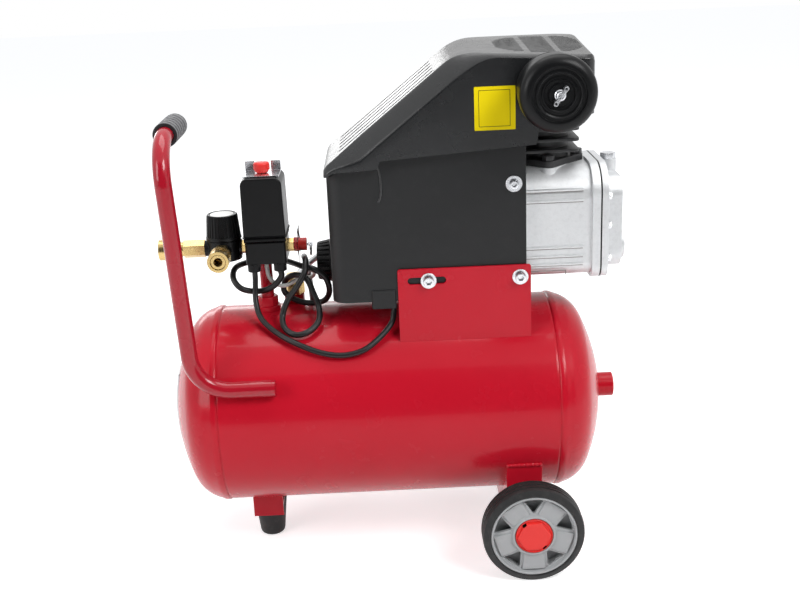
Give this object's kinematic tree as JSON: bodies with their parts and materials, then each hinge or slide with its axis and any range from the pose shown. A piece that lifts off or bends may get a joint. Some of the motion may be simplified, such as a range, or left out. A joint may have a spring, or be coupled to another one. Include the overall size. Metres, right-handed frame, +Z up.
{
  "type": "hotdog air compressor",
  "caption": "Wheeled horizontal-tank piston air compressor with a hooded pump, pressure switch, regulator, quick couplers and tubular handle.",
  "frame": {"origin": "on the floor, under the middle of the length and width", "axes": "+X along the tank to the pump's end, +Y away from the filter, +Z up"},
  "size_m": [0.578, 0.3796, 0.637],
  "materials": {
    "red_paint": "gloss paint",
    "red_plastic": "gloss",
    "black_plastic": "fine grain",
    "grey_plastic": "satin",
    "pale_plastic": "satin",
    "black_rubber": "matt",
    "tyre": "matt",
    "cast_aluminium": "bead blasted",
    "zinc_steel": "zinc plated",
    "dark_steel": "plain",
    "black_iron": "black paint",
    "brass": "machined",
    "clear": "clear"
  },
  "bodies": {
    "compressor": {"tank_shell": "red_paint", "tank_heads": "red_paint", "tank_ports": "red_paint", "handle_tube": "red_paint", "saddle_plates": "red_paint", "wheel_bracket": "red_paint", "foot_bracket": "red_paint", "safety_valve": "red_paint", "motor_cowl": "black_plastic", "cowl_cap": "black_plastic", "hood": "black_plastic", "filter_housing": "black_plastic", "filter_cover": "black_plastic", "switch_base": "black_plastic", "switch_cover": "black_plastic", "regulator_body": "black_plastic", "cover_gasket": "black_plastic", "unloader_tube": "pale_plastic", "handle_grip": "black_rubber", "rubber_foot": "black_rubber", "motor_cable": "black_rubber", "mains_lead": "black_rubber", "lead_coil": "black_rubber", "lead_plug": "black_rubber", "crankcase": "cast_aluminium", "crankcase_cover": "cast_aluminium", "cylinder_head": "cast_aluminium", "motor_housing": "cast_aluminium", "delivery_pipe": "cast_aluminium", "data_plate": "cast_aluminium", "bolts": "zinc_steel", "axle": "zinc_steel", "oil_plug": "zinc_steel", "valve_plate": "zinc_steel", "bearings": "zinc_steel", "switch_bracket": "zinc_steel", "stator": "dark_steel", "cylinder_block": "black_iron", "brass_fittings": "brass", "check_valve": "brass", "sight_glass": "clear"},
    "near_wheel": {"near_tyre": "tyre", "near_rim": "grey_plastic", "near_cap": "red_plastic"},
    "far_wheel": {"far_tyre": "tyre", "far_rim": "grey_plastic", "far_cap": "red_plastic"},
    "motor_rotor": {"rotor": "dark_steel", "crankshaft": "zinc_steel", "fan": "black_plastic"},
    "piston_body": {"piston": "cast_aluminium"},
    "rod_body": {"con_rod": "zinc_steel"},
    "drain": {"drain_screw": "brass"},
    "wing": {"wing_nut": "zinc_steel"},
    "on_off_knob": {"switch_knob": "red_plastic"},
    "pressure_knob": {"regulator_knob": "black_plastic", "knob_disc": "pale_plastic"},
    "front_coupler_sleeve": {"front_sleeve": "brass"},
    "left_coupler_sleeve": {"left_sleeve": "brass"},
    "safety_pull": {"safety_ring": "brass"}
  },
  "joints": [
    {"name": "near_wheel_spin", "type": "hinge", "parent": "compressor", "child": "near_wheel", "pos_m": [0.157, -0.1425, 0.0625], "axis": [0, 1, 0], "continuous": true},
    {"name": "far_wheel_spin", "type": "hinge", "parent": "compressor", "child": "far_wheel", "pos_m": [0.157, 0.1425, 0.0625], "axis": [0, 1, 0], "continuous": true},
    {"name": "motor_spin", "type": "hinge", "parent": "compressor", "child": "motor_rotor", "pos_m": [0.048, 0, 0.434], "axis": [1, 0, 0], "continuous": true},
    {"name": "piston_stroke", "type": "slide", "parent": "compressor", "child": "piston_body", "axis": [0, 0, 1], "range_m": [0, 0.04]},
    {"name": "rod_swing", "type": "hinge", "parent": "piston_body", "child": "rod_body", "pos_m": [0.191, 0, 0.502], "axis": [1, 0, 0], "range_deg": [-13, 13]},
    {"name": "drain_turn", "type": "hinge", "parent": "compressor", "child": "drain", "pos_m": [0.181, 0, 0.045], "axis": [0, 0, 1], "range_deg": [0, 720]},
    {"name": "wing_nut_turn", "type": "hinge", "parent": "compressor", "child": "wing", "pos_m": [0.187, -0.152, 0.592], "axis": [0, 1, 0], "range_deg": [0, 1080]},
    {"name": "switch_pull", "type": "slide", "parent": "compressor", "child": "on_off_knob", "axis": [0, 0, 1], "range_m": [0, 0.006]},
    {"name": "regulator_turn", "type": "hinge", "parent": "compressor", "child": "pressure_knob", "pos_m": [-0.208, 0, 0.43], "axis": [0, 0, 1], "range_deg": [-540, 540]},
    {"name": "front_sleeve_slide", "type": "slide", "parent": "compressor", "child": "front_coupler_sleeve", "axis": [0, 1, 0], "range_m": [0, 0.004], "stiffness_N_per_m": 400},
    {"name": "left_sleeve_slide", "type": "slide", "parent": "compressor", "child": "left_coupler_sleeve", "axis": [1, 0, 0], "range_m": [0, 0.004], "stiffness_N_per_m": 400},
    {"name": "safety_ring_pull", "type": "slide", "parent": "compressor", "child": "safety_pull", "axis": [1, 0, 0], "range_m": [0, 0.003], "stiffness_N_per_m": 800}
  ]
}
